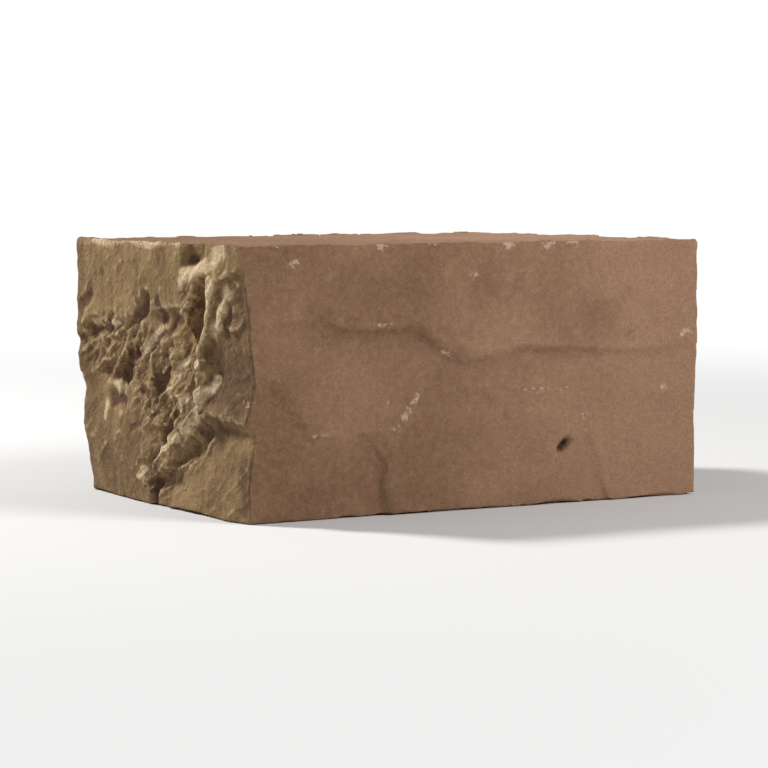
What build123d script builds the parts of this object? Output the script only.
"""Rock-faced sandstone walling block: one split stone, lying on its lower bed.

X runs along the wall, Y through it and Z up. The front face looks along -Y and the
rock-faced end along -X. The origin is on the lower bed, under the middle of the block.
"""

import math
import os

from build123d import *

# Squared stone, in millimetres
length = 300.0
depth = 210.0
height = 150.0

# Hand-split faces: the deepest bite of the pitching tool on each of them
front_relief = 4.0
end_relief = 14.0
back_relief = 7.0
joint_relief = 6.0

# Ledges: the angle between a ledge and the way out of the stone, on low and bold relief
low_ledge = 60.0
bold_ledge = 32.0

# Scoops: half the width of the widest one
scoop_reach = 60.0

# Bruised edges: the curve of a chip, its bite into the edge, the mean spacing of the chips
# and the place of the first one, as a share of the edge
chip_curve = 70.0
chip_bite = 2.2
chip_spacing = 48.0
first_chip = 0.21

# A flake leaves a flat, leaning facet behind a ledge. Each row: the bite at the facet's first
# corner, as a share of the face's relief, then how far the facet leans out across and
# upwards, in degrees, then its corners, as shares of the face's width and height.
front_flakes = [
    (0.85, -1.7, -1.6, [(0.37, 0.66), (0.40, 0.60), (0.46, 0.54), (0.46, -0.1),
                        (-0.1, -0.1), (-0.1, 0.69), (0.16, 0.71), (0.23, 0.67)]),
    (0.85, 1.1, -1.6, [(0.45, 0.54), (0.53, 0.55), (0.60, 0.58), (0.83, 0.56),
                       (1.1, 0.60), (1.1, -0.1), (0.45, -0.1)]),
    (0.80, -2.0, 3.0, [(0.29, 0.12), (0.30, -0.1), (-0.1, -0.1), (-0.1, 0.28),
                       (0.14, 0.30), (0.24, 0.31), (0.28, 0.26), (0.295, 0.19)]),
    (0.35, -1.2, -0.5, [(0.74, 0.30), (0.76, 0.20), (0.775, 0.08), (0.81, -0.1),
                        (0.55, -0.1), (0.57, 0.20), (0.60, 0.40), (0.70, 0.43),
                        (0.735, 0.37)]),
]
end_flakes = [
    (0.34, -1.6, -2.6, [(0.47, 0.72), (0.66, 0.73), (0.73, 0.48), (0.74, 0.32),
                        (0.46, 0.10), (0.30, 0.26), (-0.1, 0.28), (-0.1, 0.58),
                        (0.30, 0.68)]),
    (0.74, -3.0, 6.0, [(1.08, 0.50), (0.78, 0.50), (0.80, 0.62), (0.87, 0.86),
                       (1.08, 0.93)]),
    (0.74, -3.0, -11.0, [(1.08, 0.51), (1.08, 0.30), (0.76, 0.33), (0.75, 0.42),
                         (0.78, 0.51)]),
    (0.72, 0.0, -9.0, [(0.72, 0.29), (0.80, 0.33), (1.08, 0.32), (1.08, -0.1),
                       (0.44, -0.1), (0.48, 0.08), (0.62, 0.18)]),
    (0.75, 3.0, 9.0, [(-0.1, -0.1), (-0.1, 0.28), (0.03, 0.27), (0.30, 0.26),
                      (0.46, 0.10), (0.44, -0.1)]),
    (0.95, -14.0, 3.0, [(1.08, -0.1), (1.08, 0.32), (0.93, 0.24), (0.90, -0.1)]),
    (0.80, -18.0, 0.0, [(0.76, 0.72), (0.72, 0.59), (0.695, 0.60), (0.71, 0.72),
                        (0.735, 0.82), (0.765, 0.83), (0.775, 0.79)]),
    (0.50, -6.0, 15.0, [(0.68, 0.94), (0.71, 0.93), (0.78, 0.975), (0.80, 1.1),
                        (0.68, 1.1)]),
    (0.50, -11.0, 15.0, [(0.38, 0.55), (0.26, 0.43), (0.25, 0.53), (0.35, 0.62),
                         (0.39, 0.61)]),
    (0.54, -11.0, 14.0, [(0.57, 0.53), (0.48, 0.44), (0.46, 0.51), (0.54, 0.59),
                         (0.57, 0.58)]),
    (0.32, -4.0, 16.0, [(0.305, 0.36), (0.195, 0.35), (0.19, 0.40), (0.24, 0.43),
                        (0.31, 0.40)]),
    (0.37, -16.0, 9.0, [(0.57, 0.32), (0.53, 0.225), (0.51, 0.265), (0.54, 0.355),
                        (0.565, 0.36)]),
    (0.24, -4.0, 14.0, [(0.15, 0.66), (0.07, 0.63), (0.06, 0.67), (0.095, 0.70),
                        (0.15, 0.69)]),
    (0.28, -12.0, 12.0, [(0.46, 0.765), (0.38, 0.66), (0.37, 0.72), (0.43, 0.81),
                         (0.46, 0.805)]),
]
back_flakes = [
    (0.90, 0.6, -1.2, [(0.30, 0.62), (0.62, 0.70), (0.70, -0.1), (-0.1, -0.1),
                       (-0.1, 0.50)]),
    (0.80, -0.8, -0.6, [(0.78, 0.45), (1.1, 0.38), (1.1, -0.1), (0.60, -0.1),
                        (0.58, 0.30)]),
    (0.50, 0.8, 0.9, [(0.10, 0.78), (0.42, 0.82), (0.46, 1.1), (-0.1, 1.1),
                      (-0.1, 0.80)]),
]
joint_flakes = [
    (0.95, 0.8, -1.4, [(0.28, 0.55), (0.56, 0.64), (0.60, -0.1), (0.12, -0.1),
                       (0.10, 0.42)]),
    (0.80, -1.2, 0.6, [(0.80, 0.70), (1.1, 0.60), (1.1, 1.1), (0.60, 1.1)]),
]

# A scoop is the shell-shaped hollow of a spall. Each row: across and up, as shares of the
# face, then reach and bite, as shares of scoop_reach and of the face's relief.
front_scoops = [
    (0.02, 0.22, 0.70, 0.55),
    (0.44, 0.44, 0.48, 0.85),
    (0.52, 0.23, 0.82, 0.65),
    (0.27, 0.86, 0.80, 0.30),
    (0.90, 0.24, 0.80, 0.40),
]
end_scoops = [(0.16, 0.44, 0.60, 0.30)]
back_scoops = [(0.18, 0.30, 0.90, 0.90), (0.84, 0.80, 0.80, 0.60)]
joint_scoops = [(0.30, 0.86, 0.70, 0.60), (0.72, 0.30, 0.80, 0.80)]

# The four split faces. On each plane, x runs across, y up and z out of the stone.
front = Plane((-length / 2, -depth / 2, 0), x_dir=(1, 0, 0), z_dir=(0, -1, 0))
rock_end = Plane((-length / 2, depth / 2, 0), x_dir=(0, -1, 0), z_dir=(-1, 0, 0))
back = Plane((length / 2, depth / 2, 0), x_dir=(-1, 0, 0), z_dir=(0, 1, 0))
joint_end = Plane((length / 2, -depth / 2, 0), x_dir=(0, 1, 0), z_dir=(1, 0, 0))
split_faces = [
    (front, length, front_relief, low_ledge, front_flakes, front_scoops),
    (rock_end, depth, end_relief, bold_ledge, end_flakes, end_scoops),
    (back, length, back_relief, low_ledge, back_flakes, back_scoops),
    (joint_end, depth, joint_relief, low_ledge, joint_flakes, joint_scoops),
]


def cut_flake(face, bite, lean_across, lean_up, outline, ledge):
    """Takes a flake off a face: the facet lies bite deep at the outline's first corner."""
    first_across, first_up = outline[0]
    facet = Plane(
        face.location
        * Pos(first_across, first_up, -bite)
        * Rot(lean_up, -lean_across, 0)
    )
    with BuildSketch(facet) as flake:
        with BuildLine():
            Polyline(
                [(across - first_across, up - first_up) for across, up in outline],
                close=True,
            )
        make_face()
    extrude(flake.sketch, amount=2 * bite, taper=-ledge, mode=Mode.SUBTRACT)


def cut_scoop(face, across, up, reach, bite):
    """Takes a spall off a face, which leaves a shallow round hollow."""
    radius = (reach**2 + bite**2) / (2 * bite)
    centre = face.from_local_coords((across, up, radius - bite))
    with Locations(Plane(centre, x_dir=face.z_dir, z_dir=face.y_dir)):
        Sphere(radius, mode=Mode.SUBTRACT)


def chip_centres(face, width):
    """Centres of the chips along a face's lower and upper edges, by the golden section."""
    golden = (math.sqrt(5) - 1) / 2
    clear = (chip_curve - chip_bite) / math.sqrt(2)
    for step in range(math.ceil(width / chip_spacing)):
        across = (first_chip + step * golden) % 1 * width
        up = height + clear if step % 2 else -clear
        yield face.from_local_coords((across, up, clear))


with BuildPart() as wall_block:
    Box(length, depth, height, align=(Align.CENTER, Align.CENTER, Align.MIN))
    for face, width, relief, ledge, flakes, scoops in split_faces:
        for bite, lean_across, lean_up, shares in flakes:
            outline = [(across * width, up * height) for across, up in shares]
            cut_flake(face, bite * relief, lean_across, lean_up, outline, ledge)
        for across, up, reach, bite in scoops:
            cut_scoop(
                face, across * width, up * height, reach * scoop_reach, bite * relief
            )
        with Locations(*chip_centres(face, width)):
            Sphere(chip_curve, mode=Mode.SUBTRACT)
wall_block.part.label = "wall_block"

os.makedirs("parts", exist_ok=True)
export_step(wall_block.part, "parts/wall_block.step")
print("wall_block", wall_block.part.bounding_box().size, round(wall_block.part.volume))
